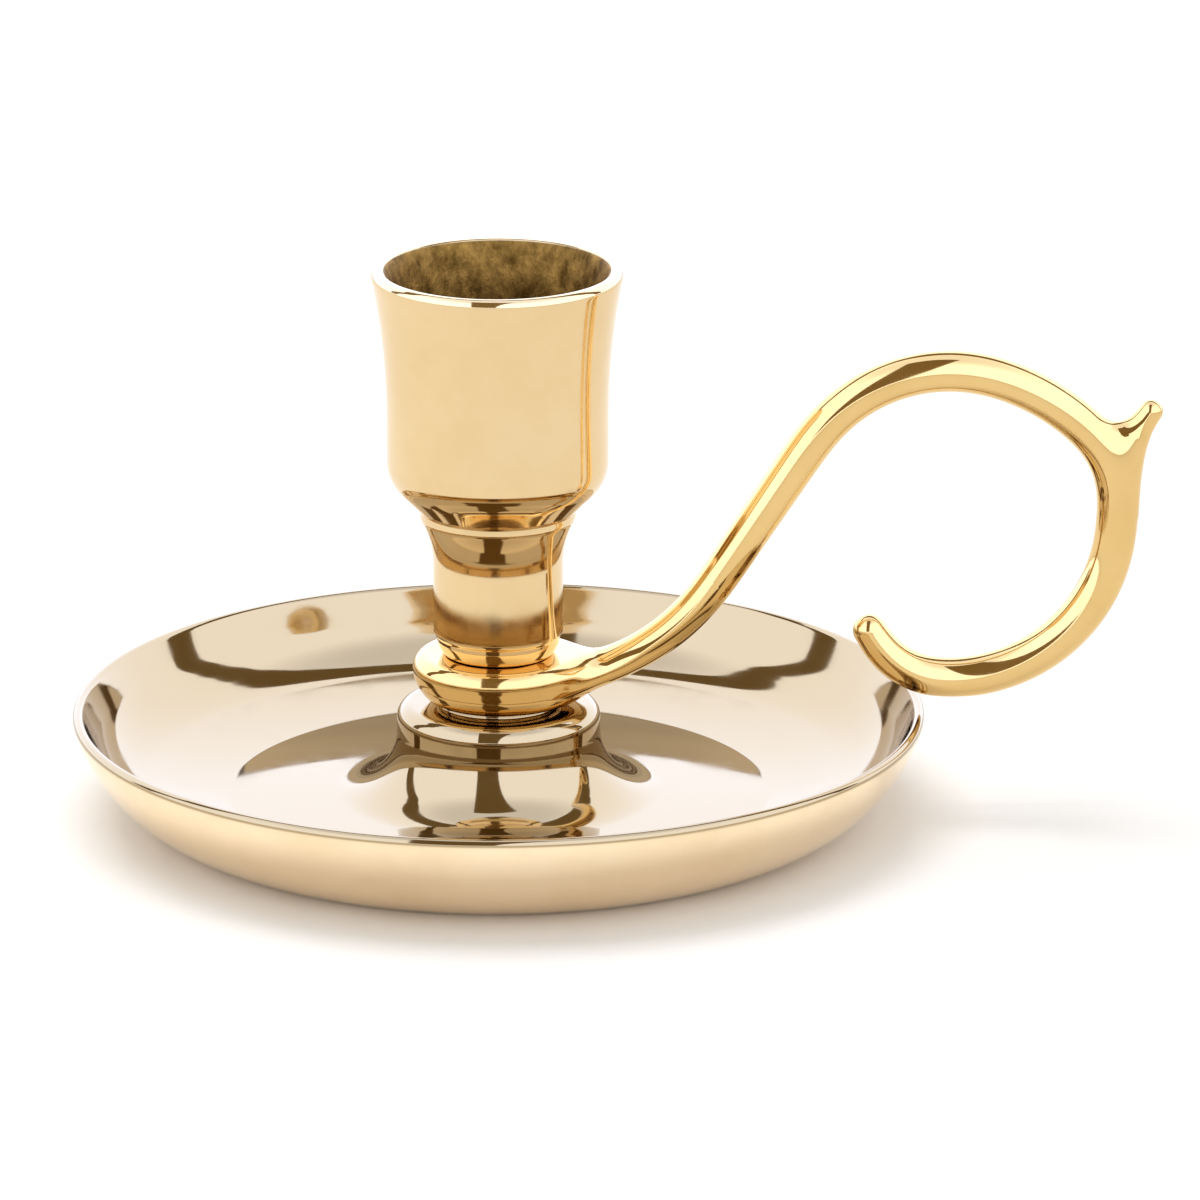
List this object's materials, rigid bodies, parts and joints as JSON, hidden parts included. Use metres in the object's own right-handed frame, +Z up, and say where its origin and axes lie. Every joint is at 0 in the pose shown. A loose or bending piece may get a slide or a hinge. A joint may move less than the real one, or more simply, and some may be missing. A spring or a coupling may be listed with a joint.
{
  "type": "chamberstick",
  "caption": "Low candle holder: round drip pan with a raised middle, a cup on a short stem, and a bent bar handle that ends in an open finger loop with a thumb spur.",
  "frame": {"origin": "middle of the flat ring under the pan, on the table", "axes": "+Z up along the candle's axis, +X from the candle's axis out along the handle to the thumb spur, Y across the handle, which is the same on both sides"},
  "size_m": [0.1276, 0.1, 0.0658],
  "materials": {
    "polished_brass": "hand polished cast brass",
    "zinc_plated_steel": "bright zinc plated"
  },
  "bodies": {
    "root": {"drip_pan": "polished_brass", "loop_handle": "polished_brass", "candle_cup": "polished_brass", "tie_stud": "zinc_plated_steel", "flat_washer": "zinc_plated_steel", "spring_washer": "zinc_plated_steel", "hex_nut": "zinc_plated_steel"}
  },
  "joints": []
}
